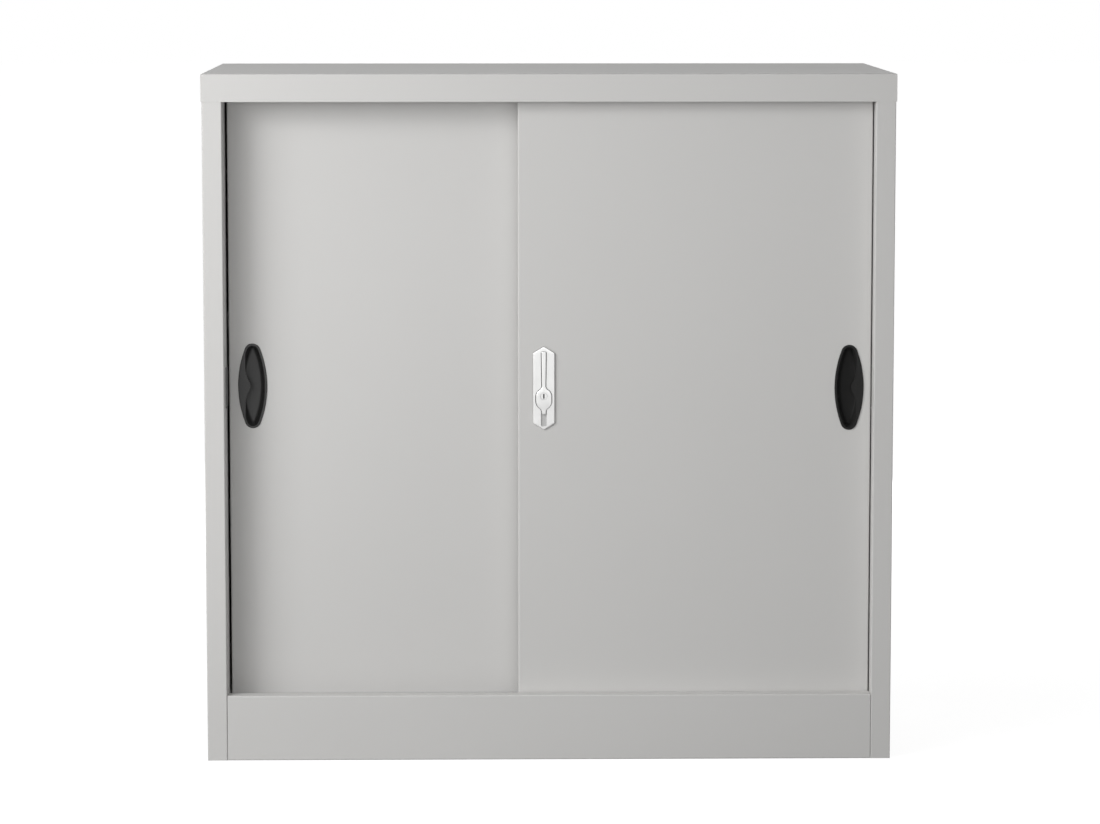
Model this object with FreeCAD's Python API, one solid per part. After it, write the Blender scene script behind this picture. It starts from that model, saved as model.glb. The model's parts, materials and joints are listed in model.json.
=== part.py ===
import FreeCAD, Part
import math
import os
from FreeCAD import Vector

# A half-height steel cupboard with two sliding doors, in millimetres.
# Origin at the middle of the footprint on the floor, +Z up, doors facing -Y.

# Overall size
width = 900.0
depth = 450.0
height = 900.0

# Sheet steel, its inside bend radius, and the gaps between pieces
sheet = 0.8
bend = 0.8
lap_gap = 0.2
seam_gap = 0.4
clear = 0.3
run_clear = 0.05
overrun = 10.0
plane_tolerance = 0.01

# Top panel: skirt on four sides, the front one returned inwards between the stiles
skirt_height = 36.0
fascia_return = 12.0

# Side panels: rear flange, web, stile face, jamb, jamb lip, and flanges at top and bottom
rear_flange = 20.0
stile_width = 26.0
jamb_reach = 6.0
jamb_lip = 12.0
web_flange = 12.0

# Back panel
back_edge = 12.0

# Plinth and bottom panel
plinth_height = 86.0
plinth_foot = 15.0
plinth_end_flange = 15.0
sill_door_gap = 1.7
bed_drop = 20.0
weld_lap = 14.0
floor_edge = 18.0

# Doors: trays that face forwards, the right one in the front track
door_setback = 24.0
door_thickness = 22.0
door_spacing = 10.0
door_overlap = 82.7
left_door_gap = 3.2
right_door_gap = 1.5
door_lip = 12.0

# Door stiffeners: hat sections behind the door faces
hat_width = 40.0
hat_depth = 12.0
hat_flange = 12.0
hat_end_gap = 60.0

# Bottom track: a base with two round-topped ribs, riveted to the bed
track_base = 1.2
track_margin = 7.0
rib_height = 7.0
rib_radius = 2.0
track_rivet_count = 5
track_rivet_inset = 40.0

# Top track: a plate with two channels
channel_plate = 1.2
channel_leg = 1.2
channel_height = 19.0
channel_gap = 0.5
channel_top_gap = 3.5

# Rollers with a round groove, their axles and brackets
roller_radius = 10.0
rolling_radius = 8.5
roller_width = 8.0
roller_inset = 45.0
roller_hub = 4.6
roller_rim = 7.0
roller_dish = 1.2
roller_side_gap = 0.4
axle_radius = 2.0
axle_head_radius = 3.2
axle_head = 1.0
axle_head_gap = 0.2
bracket_sheet = 1.2
bracket_length = 48.0
bracket_ear = 5.8
bracket_window_gap = 2.0
rivet_radius = 1.6
rivet_head_radius = 3.0
rivet_head = 1.0

# Top guides of moulded plastic
guide_inset = 45.0
guide_base_length = 40.0
guide_base_width = 14.0
guide_base = 2.5
guide_base_gap = 2.7
guide_fin_length = 30.0
guide_fin = 5.0
guide_stud_radius = 2.5
guide_stud_head_radius = 3.6
guide_stud_head = 1.5

# Stop pads on the jambs, one for each track
pad_thickness = 1.2
pad_width = 14.0
pad_height = 53.0

# Recessed pulls: a lens outline with round ends, tapered walls, and a tongue over the outer side
pull_height = 489.5
left_pull_inset = 30.8
right_pull_inset = 28.5
pull_length = 112.0
pull_width = 38.0
pull_end_radius = 10.6
pull_rim = 2.7
pull_rim_proud = 1.8
pull_rim_round = 1.0
pull_pocket_depth = 12.5
pull_pocket_taper = 4.5
pull_wall = 1.5
pull_tongue_reach = 16.2
pull_tongue_ledge = 9.5
pull_tongue_span = 46.0
pull_tongue_nose_radius = 12.0
pull_tongue = 2.4
pull_barb = 0.7
pull_barb_length = 1.4
pull_barb_width = 8.0

# Lock plate: an upright hexagon with pointed ends
lock_inset = 33.6
lock_plate_length = 110.8
lock_plate_width = 28.2
lock_plate_point = 8.8
lock_plate_round = 2.5
lock_plate_edge = 0.8
lock_plate_thickness = 3.0
lock_axis_drop = 10.4
slot_width = 7.6
slot_depth = 2.0
slot_end_gap = 4.6
slot_length = 20.0

# Lock lever, its shank, the key plug and the case behind the door
lever_thickness = 2.8
lever_edge = 0.7
lever_arm_length = 58.8
lever_tip_width = 6.3
lever_tip_round = 1.9
lever_neck_width = 4.9
boss_width = 20.6
boss_round = 10.0
boss_neck_height = 10.7
boss_neck_round = 5.0
boss_upper_height = 4.8
boss_lower_drop = 12.2
boss_foot_drop = 18.2
boss_foot_round = 5.0
tail_width = 5.8
tail_length = 24.0
lever_groove_gap = 0.7
lever_groove_depth = 1.0
shank_radius = 6.5
plug_radius = 4.5
plug_length = 10.0
key_slot_width = 1.8
key_slot_height = 6.2
key_slot_depth = 5.0
case_width = 24.0
case_length = 48.0
case_depth = 14.0
case_edge = 1.5
fixing_radius = 1.5
fixing_head_radius = 3.0
fixing_head = 1.8
fixing_offset = 17.0
fixing_grip = 1.6

# Cam on the shank's end, and the strike on the left door that it catches
cam_thickness = 2.0
cam_width = 9.0
cam_length = 30.0
cam_door_gap = 1.4
tang_width = 7.0
cam_screw_radius = 1.5
cam_screw_length = 6.0
cam_screw_head_radius = 4.8
cam_screw_head = 2.0
strike_sheet = 1.6
strike_width = 22.0
strike_length = 26.0
strike_tab_length = 18.0
strike_tab_drop = 14.0
strike_rivet_share = 0.25
strike_play = 1.0
strike_door_gap = 1.2

# Shelf posts with slots, clips and shelves, each shelf placed by the slots below it
post_width = 24.0
post_depth = 10.0
post_sheet = 1.0
front_post_gap = 12.0
rear_post_gap = 20.0
slot_first = 44.0
slot_pitch = 36.0
post_slot_width = 3.2
post_slot_height = 12.0
lower_shelf_slot_count = 5
upper_shelf_slot_count = 12
shelf_front_gap = 8.0
shelf_rear_gap = 7.0
shelf_edge = 25.0
shelf_lip = 12.0
clip_sheet = 1.2
clip_width = 16.0
clip_height = 20.0
clip_ledge = 11.0
clip_hook_width = 2.6
clip_hook_height = 7.0
clip_hook_drop = 4.0

# Levels and planes that several pieces share
cap_under = height - sheet
skirt_bottom = height - skirt_height
body_x = width / 2 - sheet - lap_gap
body_front = -depth / 2 + sheet + lap_gap
body_back = -body_front
web_x = body_x - sheet
jamb_x = body_x - stile_width
jamb_back = body_front + door_setback + 2 * door_thickness + door_spacing + jamb_reach
back_face = body_back - 2 * sheet
sill_back = body_front + door_setback - sill_door_gap
bed_z = plinth_height - bed_drop
floor_front = jamb_back + clear
rail_top = bed_z + track_base + rib_height

# Doors in place
opening = 2 * jamb_x
door_width = (opening + door_overlap - left_door_gap - right_door_gap) / 2
axle_z = rail_top + clear + rolling_radius
door_bottom = axle_z - axle_head_radius - axle_head_gap - sheet
door_top = cap_under - channel_height - guide_base_gap - guide_base
door_height = door_top - door_bottom
right_face_y = body_front + door_setback
left_face_y = right_face_y + door_thickness + door_spacing
left_door_x = -jamb_x + left_door_gap + door_width / 2
right_door_x = jamb_x - right_door_gap - door_width / 2

# Lock in place
lock_x = right_door_x - door_width / 2 + lock_inset
lock_z = pull_height - lock_axis_drop
plate_face_y = right_face_y - lock_plate_thickness
lever_back_y = plate_face_y - clear
lever_face_y = lever_back_y - lever_thickness
cam_y = right_face_y + door_thickness + cam_door_gap


def block(x0, x1, y0, y1, z0, z1):
    """A box between two corners."""
    return Part.makeBox(x1 - x0, y1 - y0, z1 - z0, Vector(x0, y0, z0))


def rod_y(radius, y0, y1, x, z):
    """A round bar along Y."""
    return Part.makeCylinder(radius, y1 - y0, Vector(x, y0, z), Vector(0, 1, 0))


def rod_z(radius, z0, z1, x, y):
    """A round bar along Z."""
    return Part.makeCylinder(radius, z1 - z0, Vector(x, y, z0), Vector(0, 0, 1))


def fuse_all(first, *others):
    """One solid from several that meet."""
    return first.fuse(list(others)).removeSplitter()


def rounded_wire(corners, radii):
    """A closed wire through flat corners, each rounded by its own radius."""
    count = len(corners)
    entries = []
    middles = []
    exits = []
    for i in range(count):
        here = corners[i]
        back = (corners[i - 1] - here).normalize()
        ahead = (corners[(i + 1) % count] - here).normalize()
        half = back.getAngle(ahead) / 2
        reach = radii[i] / math.tan(half)
        entries.append(here + back * reach)
        exits.append(here + ahead * reach)
        inward = (back + ahead).normalize() if radii[i] else Vector(back)
        middles.append(here + inward * (radii[i] / math.sin(half) - radii[i]))
    edges = []
    for i in range(count):
        if radii[i]:
            edges.append(Part.Arc(entries[i], middles[i], exits[i]).toShape())
        edges.append(Part.LineSegment(exits[i], entries[(i + 1) % count]).toShape())
    return Part.Wire(edges)


def prism(corners, radii, travel):
    """A flat outline with rounded corners, pushed along a vector."""
    return Part.Face(rounded_wire(corners, radii)).extrude(travel)


def strip_outline(path, thickness, side):
    """Outline and bend radii of a folded sheet whose one face follows a flat path.

    The sheet lies to the left of the path for side 1, to the right for side -1.
    """
    headings = []
    for i in range(len(path) - 1):
        du = path[i + 1][0] - path[i][0]
        dv = path[i + 1][1] - path[i][1]
        length = math.hypot(du, dv)
        headings.append((du / length, dv / length))
    far = []
    near_radii = []
    far_radii = []
    for i, (u, v) in enumerate(path):
        before = headings[max(i - 1, 0)]
        after = headings[min(i, len(headings) - 1)]
        along = before[0] * after[0] + before[1] * after[1]
        turn = side * (before[0] * after[1] - before[1] * after[0])
        push = side * thickness / (1 + along)
        far.append((u - (before[1] + after[1]) * push, v + (before[0] + after[0]) * push))
        is_end = i in (0, len(path) - 1)
        near_radii.append(0 if is_end else bend + (thickness if turn > 0 else 0))
        far_radii.append(0 if is_end else bend + (0 if turn > 0 else thickness))
    return path + far[::-1], near_radii + far_radii[::-1]


def upright_strip(path, thickness, side, z0, z1):
    """A folded sheet with a plan outline, standing from z0 to z1."""
    outline, radii = strip_outline(path, thickness, side)
    return prism([Vector(x, y, z0) for x, y in outline], radii, Vector(0, 0, z1 - z0))


def level_strip(path, thickness, side, x0, x1):
    """A folded sheet with an outline of (y, z) points, running from x0 to x1."""
    outline, radii = strip_outline(path, thickness, side)
    return prism([Vector(x0, y, z) for y, z in outline], radii, Vector(x1 - x0, 0, 0))


def rounded_slab(length, span, thickness, face_radius, back_radius):
    """A slab below z = 0 with rounded edges on its face and on its back."""
    half = length / 2
    side = span / 2
    radii = [back_radius, back_radius, face_radius, face_radius]
    across = [(-half, -thickness), (half, -thickness), (half, 0), (-half, 0)]
    along = [(-side, -thickness), (side, -thickness), (side, 0), (-side, 0)]
    first = prism([Vector(u, -side, v) for u, v in across], radii, Vector(0, span, 0))
    second = prism([Vector(-half, u, v) for u, v in along], radii, Vector(length, 0, 0))
    return first.common(second)


def tray(length, span, drop, lip):
    """A folded tray facing up at z = 0, its edges turned down and then in by lip."""
    inner_length = length - 2 * sheet
    inner_span = span - 2 * sheet
    skin = rounded_slab(length, span, drop, bend + sheet, bend + sheet if lip else 0)
    room = drop - 2 * sheet if lip else drop
    hollow = rounded_slab(inner_length, inner_span, room, bend, bend if lip else 0)
    hollow.translate(Vector(0, 0, -sheet))
    shell = skin.cut(hollow)
    if not lip:
        return shell
    half = inner_length / 2 - lip
    side = inner_span / 2 - lip
    return shell.cut(block(-half, half, -side, side, -drop - overrun, -drop / 2))


def make_top_panel():
    """Cap with skirts, and the front skirt's return between the stiles."""
    cap = tray(width, depth, skirt_height, 0)
    cap.translate(Vector(0, 0, height))
    half = jamb_x - seam_gap
    back = -depth / 2 + fascia_return
    fascia = block(-half, half, -depth / 2, back, skirt_bottom, skirt_bottom + sheet)
    return fuse_all(cap, fascia)


def make_side_panel(hand):
    """A side wall folded round to the stile and the jamb; hand -1 is the left one."""
    outer = hand * body_x
    inner = hand * jamb_x
    path = [
        (outer - hand * rear_flange, body_back),
        (outer, body_back),
        (outer, body_front),
        (inner, body_front),
        (inner, jamb_back),
        (inner + hand * jamb_lip, jamb_back),
    ]
    wall = upright_strip(path, sheet, -hand, 0, cap_under)
    near = hand * web_x
    far = near - hand * web_flange
    x0, x1 = sorted((near + hand * sheet / 2, far))
    y0 = body_front + sheet / 2
    y1 = back_face - back_edge - clear
    foot = block(x0, x1, y0, y1, 0, sheet)
    head = block(x0, x1, y0, y1, cap_under - sheet, cap_under)
    under_cap = rounded_slab(width - 2 * sheet, depth - 2 * sheet, cap_under, bend, 0)
    under_cap.translate(Vector(0, 0, cap_under))
    return fuse_all(wall, foot, head).common(under_cap)


def make_back_panel():
    """Back wall inside the rear flanges, its edges folded forwards."""
    half = web_x - clear
    y = body_back - sheet
    path = [(half, y - back_edge), (half, y), (-half, y), (-half, y - back_edge)]
    return upright_strip(path, sheet, 1, 0, cap_under - sheet)


def make_plinth():
    """Front plinth with its foot flange, sill and weld flange, and its end flanges."""
    half = jamb_x - seam_gap
    path = [
        (body_front + plinth_foot, 0),
        (body_front, 0),
        (body_front, plinth_height),
        (sill_back, plinth_height),
        (sill_back, bed_z - weld_lap),
    ]
    front = level_strip(path, sheet, -1, -half, half)
    y0 = body_front + sheet / 2
    y1 = body_front + plinth_end_flange
    z0 = sheet / 2
    z1 = plinth_height - sheet / 2
    left = block(-half, -half + sheet, y0, y1, z0, z1)
    right = block(half - sheet, half, y0, y1, z0, z1)
    return fuse_all(front, left, right)


def make_bottom_panel():
    """Floor of the cupboard, stepped down to the track bed between the jambs."""
    half = web_x - clear
    bed_half = jamb_x - clear
    path = [
        (back_face, plinth_height - floor_edge),
        (back_face, plinth_height),
        (floor_front, plinth_height),
        (floor_front, bed_z),
        (sill_back, bed_z),
        (sill_back, bed_z - weld_lap),
    ]
    floor = level_strip(path, sheet, 1, -half, half)
    low = bed_z - weld_lap - overrun
    for x0, x1 in ((-half - overrun, -bed_half), (bed_half, half + overrun)):
        floor = floor.cut(block(x0, x1, sill_back - overrun, floor_front, low, plinth_height))
    y0 = floor_front + sheet / 2
    y1 = back_face - sheet / 2
    z0 = plinth_height - floor_edge
    z1 = plinth_height - sheet / 2
    left = block(-half, -half + sheet, y0, y1, z0, z1)
    right = block(half - sheet, half, y0, y1, z0, z1)
    floor = fuse_all(floor, left, right)
    notch_x = half - sheet - bend - clear
    notch_y = back_face - back_edge - clear
    for x0, x1 in ((-half - overrun, -notch_x), (notch_x, half + overrun)):
        floor = floor.cut(block(x0, x1, notch_y, back_face + overrun, low, plinth_height))
    for x, y in track_rivet_places():
        floor = floor.cut(rod_z(rivet_radius, bed_z - overrun, bed_z + overrun, x, y))
    return floor


def door_plane(face_y):
    """Middle of a door's thickness."""
    return face_y + door_thickness / 2


def make_bottom_track():
    """Base strip with a rib under the middle of each door."""
    half = jamb_x - seam_gap
    front = door_plane(right_face_y)
    back = door_plane(left_face_y)
    z0 = bed_z
    z1 = bed_z + track_base
    track = block(-half, half, front - track_margin, back + track_margin, z0, z1)
    for y in (front, back):
        corners = [
            Vector(-half, y - rib_radius, z0),
            Vector(-half, y + rib_radius, z0),
            Vector(-half, y + rib_radius, rail_top - rib_radius),
            Vector(-half, y - rib_radius, rail_top - rib_radius),
        ]
        crown = Part.Arc(corners[2], Vector(-half, y, rail_top), corners[3]).toShape()
        sides = [Part.LineSegment(corners[i - 1], corners[i]).toShape() for i in range(3)]
        outline = Part.Wire([sides[0], sides[1], sides[2], crown])
        track = track.fuse(Part.Face(outline).extrude(Vector(2 * half, 0, 0)))
    track = track.removeSplitter()
    for x, y in track_rivet_places():
        track = track.cut(rod_z(rivet_radius, z0 - overrun, z1 + overrun, x, y))
    return track


def track_rivet_places():
    """Rivets along the middle of the bottom track."""
    y = (door_plane(right_face_y) + door_plane(left_face_y)) / 2
    end = jamb_x - track_rivet_inset
    step = 2 * end / (track_rivet_count - 1)
    return [(-end + step * i, y) for i in range(track_rivet_count)]


def rivet_z(x, y, z_low, z_high):
    """A rivet along Z whose heads bear on the faces at z_low and z_high."""
    shank = rod_z(rivet_radius, z_low - rivet_head, z_high + rivet_head, x, y)
    upper = rod_z(rivet_head_radius, z_high, z_high + rivet_head, x, y)
    lower = rod_z(rivet_head_radius, z_low - rivet_head, z_low, x, y)
    return fuse_all(shank, upper, lower)


def make_bottom_track_rivets():
    """Rivets through the track base and the bed."""
    low = bed_z - sheet
    high = bed_z + track_base
    return Part.Compound([rivet_z(x, y, low, high) for x, y in track_rivet_places()])


def make_top_track():
    """Plate under the top panel with a channel over each door."""
    half = jamb_x - seam_gap
    slot = guide_fin / 2 + channel_gap
    reach = slot + channel_leg
    front = door_plane(right_face_y)
    back = door_plane(left_face_y)
    low = cap_under - channel_height
    track = block(-half, half, front - reach, back + reach, cap_under - channel_plate, cap_under)
    for y in (front, back):
        legs = block(-half, half, y - reach, y + reach, low, cap_under)
        groove = block(-half - overrun, half + overrun, y - slot, y + slot,
                       low - overrun, cap_under - channel_plate)
        track = track.fuse(legs).cut(groove)
    return track.removeSplitter()


def lens_wire(grow, y):
    """The pull's outline about x = z = 0, grown by an amount, in the plane at y."""
    half_length = pull_length / 2 + grow
    half_width = pull_width / 2 + grow
    end_radius = pull_end_radius + grow
    end_z = half_length - end_radius
    flat = half_width - end_radius
    centre = (end_z * end_z - flat * flat) / (2 * flat)
    side_radius = half_width + centre
    touch_x = -centre + side_radius * centre / (side_radius - end_radius)
    touch_z = side_radius * end_z / (side_radius - end_radius)
    right = Part.Arc(Vector(touch_x, y, -touch_z), Vector(half_width, y, 0), Vector(touch_x, y, touch_z))
    top = Part.Arc(Vector(touch_x, y, touch_z), Vector(0, y, half_length), Vector(-touch_x, y, touch_z))
    left = Part.Arc(Vector(-touch_x, y, touch_z), Vector(-half_width, y, 0), Vector(-touch_x, y, -touch_z))
    low = Part.Arc(Vector(-touch_x, y, -touch_z), Vector(0, y, -half_length), Vector(touch_x, y, -touch_z))
    return Part.Wire([right.toShape(), top.toShape(), left.toShape(), low.toShape()])


def lens(grow, y0, y1):
    """A lens-shaped slab between two planes."""
    return Part.Face(lens_wire(grow, y0)).extrude(Vector(0, y1 - y0, 0))


def edges_at(shape, y):
    """Edges that lie in the plane at y."""
    found = []
    for edge in shape.Edges:
        box = edge.BoundBox
        if max(abs(box.YMin - y), abs(box.YMax - y)) < plane_tolerance:
            found.append(edge)
    return found


def tongue_outline(y):
    """A ledge along the pull's -X side, with a bell in its middle that bulges over the pocket."""
    root = -pull_width / 2
    tip = root + pull_tongue_reach
    foot = root + pull_tongue_ledge
    half = pull_tongue_span / 2
    rise = tip - foot
    radii = (rise * rise + half * half) / (2 * rise)
    flank = radii - pull_tongue_nose_radius
    share = pull_tongue_nose_radius / radii
    turn_x = tip - rise * share
    turn_z = half * share
    lean = math.atan2(half, radii - rise)
    bulge_x = foot + flank - flank * math.cos(lean / 2)
    bulge_z = half - flank * math.sin(lean / 2)
    outside = root - pull_rim
    end = pull_length / 2
    outline = [(foot, half), (foot, end), (outside, end), (outside, -end), (foot, -end), (foot, -half)]
    corners = [Vector(u, y, v) for u, v in outline]
    low_turn = Vector(turn_x, y, -turn_z)
    high_turn = Vector(turn_x, y, turn_z)
    lines = [Part.LineSegment(a, b).toShape() for a, b in zip(corners, corners[1:])]
    low = Part.Arc(corners[-1], Vector(bulge_x, y, -bulge_z), low_turn).toShape()
    nose = Part.Arc(low_turn, Vector(tip, y, 0), high_turn).toShape()
    high = Part.Arc(high_turn, Vector(bulge_x, y, bulge_z), corners[0]).toShape()
    return Part.Wire(lines + [low, nose, high])


def tapered_lens(grow, y0, y1):
    """A lens-shaped block whose walls draw in towards its back by the pocket's taper."""
    return Part.makeLoft([lens_wire(grow, y0), lens_wire(grow - pull_pocket_taper, y1)], True, True)


def make_pull(x, face_y, hand):
    """A recessed pull in a door face; hand -1 has its tongue on the left."""
    front = -pull_rim_proud
    rim = lens(0, front, 0)
    rim = rim.makeFillet(pull_rim_round, edges_at(rim, front))
    cup = tapered_lens(pull_wall - pull_rim, 0, pull_pocket_depth + pull_wall)
    pocket = tapered_lens(-pull_rim, front, pull_pocket_depth)
    bell = Part.Face(tongue_outline(front)).extrude(Vector(0, pull_tongue, 0))
    tongue = bell.common(lens(pull_wall / 2 - pull_rim, front, front + pull_tongue))
    body = rim.fuse(cup).cut(pocket).fuse(tongue)
    barb_z = pull_length / 2 - pull_rim + pull_wall
    y0 = sheet + run_clear
    y1 = y0 + pull_barb_length
    half = pull_barb_width / 2
    for side in (-1, 1):
        z0, z1 = sorted((side * (barb_z - pull_wall), side * (barb_z + pull_barb)))
        body = body.fuse(block(-half, half, y0, y1, z0, z1))
    body = body.removeSplitter()
    if hand > 0:
        body.rotate(Vector(0, 0, 0), Vector(0, 1, 0), 180)
    body.translate(Vector(x, face_y, pull_height))
    return body


def roller_xs(door_x):
    """Places of a door's two rollers along X."""
    reach = door_width / 2 - roller_inset
    return (door_x - reach, door_x + reach)


def guide_xs(door_x):
    """Places of a door's two top guides along X."""
    reach = door_width / 2 - guide_inset
    return (door_x - reach, door_x + reach)


def bracket_half_window():
    """Half the length of the window that a roller passes through."""
    return roller_radius + bracket_window_gap


def bracket_rivet_xs(x):
    """Places of the two rivets of a roller bracket along X."""
    reach = (bracket_half_window() + bracket_length / 2) / 2
    return (x - reach, x + reach)


def make_door_panel(door_x, face_y, pull_x):
    """A door tray with its pull opening, roller windows, and rivet and guide holes."""
    door = tray(door_width, door_height, door_thickness, door_lip)
    door.rotate(Vector(0, 0, 0), Vector(1, 0, 0), 90)
    door.translate(Vector(door_x, face_y, (door_bottom + door_top) / 2))
    hole = lens(pull_wall - pull_rim + clear / 2, -overrun, overrun)
    hole.translate(Vector(pull_x, face_y, pull_height))
    door = door.cut(hole)
    mid = door_plane(face_y)
    window = roller_width / 2 + roller_side_gap
    for x in roller_xs(door_x):
        reach = bracket_half_window()
        door = door.cut(block(x - reach, x + reach, mid - window, mid + window,
                              door_bottom - overrun, door_bottom + sheet + clear))
        for rivet_x in bracket_rivet_xs(x):
            door = door.cut(rod_z(rivet_radius, door_bottom - overrun, door_bottom + overrun, rivet_x, mid))
    for x in guide_xs(door_x):
        door = door.cut(rod_z(guide_stud_radius, door_top - overrun, door_top + overrun, x, mid))
    return door


def make_right_door_panel():
    """The front door, with the lock's shank and fixing holes as well."""
    door = make_door_panel(right_door_x, right_face_y, right_pull_x())
    y0 = right_face_y - overrun
    y1 = right_face_y + overrun
    door = door.cut(rod_y(shank_radius + clear, y0, y1, lock_x, lock_z))
    for z in fixing_zs():
        door = door.cut(rod_y(fixing_radius + run_clear, y0, y1, lock_x, z))
    return door


def left_pull_x():
    """The left pull sits near the left door's outer edge."""
    return left_door_x - door_width / 2 + left_pull_inset


def right_pull_x():
    """The right pull sits near the right door's outer edge."""
    return right_door_x + door_width / 2 - right_pull_inset


def make_stiffener(door_x, face_y):
    """A hat section welded upright behind the middle of a door face."""
    y = face_y + sheet
    near = hat_width / 2
    far = near + hat_flange
    crown = y + hat_depth
    path = [(-far, y), (-near, y), (-near, crown), (near, crown), (near, y), (far, y)]
    path = [(door_x + u, v) for u, v in path]
    return upright_strip(path, sheet, 1, door_bottom + hat_end_gap, door_top - hat_end_gap)


def make_roller(x, face_y):
    """A grooved roller with dished faces, bored for its axle."""
    y = door_plane(face_y)
    half = roller_width / 2
    wheel = rod_y(roller_radius, y - half, y + half, x, axle_z)
    groove = rib_radius + clear
    wheel = wheel.cut(Part.makeTorus(rolling_radius + groove, groove, Vector(x, y, axle_z), Vector(0, 1, 0)))
    for y0, y1 in ((y - half, y - half + roller_dish), (y + half - roller_dish, y + half)):
        dish = rod_y(roller_rim, y0, y1, x, axle_z).cut(rod_y(roller_hub, y0, y1, x, axle_z))
        wheel = wheel.cut(dish)
    return wheel.cut(rod_y(axle_radius + run_clear, y - half - overrun, y + half + overrun, x, axle_z))


def make_axles(door_x, face_y):
    """The two axles of a door, headed outside their brackets."""
    y = door_plane(face_y)
    half = roller_width / 2 + roller_side_gap + bracket_sheet
    pins = []
    for x in roller_xs(door_x):
        pin = rod_y(axle_radius, y - half - axle_head, y + half + axle_head, x, axle_z)
        front = rod_y(axle_head_radius, y - half - axle_head, y - half, x, axle_z)
        back = rod_y(axle_head_radius, y + half, y + half + axle_head, x, axle_z)
        pins.append(fuse_all(pin, front, back))
    return Part.Compound(pins)


def make_brackets(door_x, face_y):
    """Folded roller brackets standing on the door's bottom flange."""
    y = door_plane(face_y)
    inner = roller_width / 2 + roller_side_gap
    outer = inner + bracket_sheet
    low = door_bottom + sheet
    high = axle_z + bracket_ear
    reach = bracket_half_window()
    brackets = []
    for x in roller_xs(door_x):
        half = bracket_length / 2
        bracket = block(x - half, x + half, y - outer, y + outer, low, high)
        room = block(x - half - overrun, x + half + overrun, y - inner, y + inner,
                     low + bracket_sheet, high + overrun)
        window = block(x - reach, x + reach, y - inner, y + inner, low - overrun, high)
        bracket = bracket.cut(room).cut(window)
        bracket = bracket.cut(rod_y(axle_radius, y - outer - overrun, y + outer + overrun, x, axle_z))
        for rivet_x in bracket_rivet_xs(x):
            bracket = bracket.cut(rod_z(rivet_radius, low - overrun, high + overrun, rivet_x, y))
        brackets.append(bracket)
    return Part.Compound(brackets)


def make_bracket_rivets(door_x, face_y):
    """Rivets through the bracket bases and the door's bottom flange."""
    y = door_plane(face_y)
    high = door_bottom + sheet + bracket_sheet
    places = [rivet_x for x in roller_xs(door_x) for rivet_x in bracket_rivet_xs(x)]
    return Part.Compound([rivet_z(x, y, door_bottom, high) for x in places])


def make_guides(door_x, face_y):
    """Top guides: a base on the door's top flange, a fin in the channel and a snap stud."""
    y = door_plane(face_y)
    fin_top = cap_under - channel_plate - channel_top_gap
    guides = []
    for x in guide_xs(door_x):
        base = block(x - guide_base_length / 2, x + guide_base_length / 2,
                     y - guide_base_width / 2, y + guide_base_width / 2, door_top, door_top + guide_base)
        fin = block(x - guide_fin_length / 2, x + guide_fin_length / 2,
                    y - guide_fin / 2, y + guide_fin / 2, door_top, fin_top)
        under = door_top - sheet
        stud = rod_z(guide_stud_radius, under - guide_stud_head, door_top + guide_base / 2, x, y)
        catch = rod_z(guide_stud_head_radius, under - guide_stud_head, under, x, y)
        guides.append(fuse_all(base, fin, stud, catch))
    return Part.Compound(guides)


def make_stop_pads():
    """Rubber pads on both jambs where the door edges meet them."""
    pads = []
    for y in (door_plane(right_face_y), door_plane(left_face_y)):
        for x0, x1 in ((-jamb_x, -jamb_x + pad_thickness), (jamb_x - pad_thickness, jamb_x)):
            pads.append(block(x0, x1, y - pad_width / 2, y + pad_width / 2,
                              pull_height - pad_height / 2, pull_height + pad_height / 2))
    return Part.Compound(pads)


def fixing_zs():
    """Heights of the two screws that hold the lock plate to its case."""
    return (lock_z - fixing_offset, lock_z + fixing_offset)


def make_lock_plate():
    """A hexagonal plate with a groove that follows the lever, and a slot below the lever's tail."""
    half = lock_plate_width / 2
    end = lock_plate_length / 2
    shoulder = end - lock_plate_point
    right = [(0, -end), (half, -shoulder), (half, shoulder)]
    outline = right + [(-u, -v) for u, v in right]
    corners = [Vector(lock_x + u, plate_face_y, pull_height + v) for u, v in outline]
    plate = prism(corners, [lock_plate_round] * len(corners), Vector(0, lock_plate_thickness, 0))
    plate = plate.makeFillet(lock_plate_edge, edges_at(plate, plate_face_y))
    z0 = pull_height - end + slot_end_gap
    slot = block(lock_x - slot_width / 2, lock_x + slot_width / 2, plate_face_y - overrun,
                 plate_face_y + slot_depth, z0, z0 + slot_length)
    plate = plate.cut(slot)
    groove = lever_blank(lever_groove_gap, plate_face_y - overrun, plate_face_y + lever_groove_depth)
    groove.translate(Vector(lock_x, 0, lock_z))
    plate = plate.cut(groove)
    bore = shank_radius + run_clear
    plate = plate.cut(rod_y(bore, plate_face_y - overrun, right_face_y + overrun, lock_x, lock_z))
    for z in fixing_zs():
        plate = plate.cut(rod_y(fixing_radius, right_face_y - fixing_grip, right_face_y + overrun, lock_x, z))
    return plate


def case_back_y():
    """Back face of the lock case."""
    return right_face_y + sheet + case_depth


def make_lock_case():
    """The bearing block behind the door face."""
    y0 = right_face_y + sheet
    y1 = case_back_y()
    case = block(lock_x - case_width / 2, lock_x + case_width / 2, y0, y1,
                 lock_z - case_length / 2, lock_z + case_length / 2)
    case = case.makeFillet(case_edge, edges_at(case, y1))
    case = case.cut(rod_y(shank_radius + run_clear, y0 - overrun, y1 + overrun, lock_x, lock_z))
    for z in fixing_zs():
        case = case.cut(rod_y(fixing_radius, y0 - overrun, y1 + overrun, lock_x, z))
    return case


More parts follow.
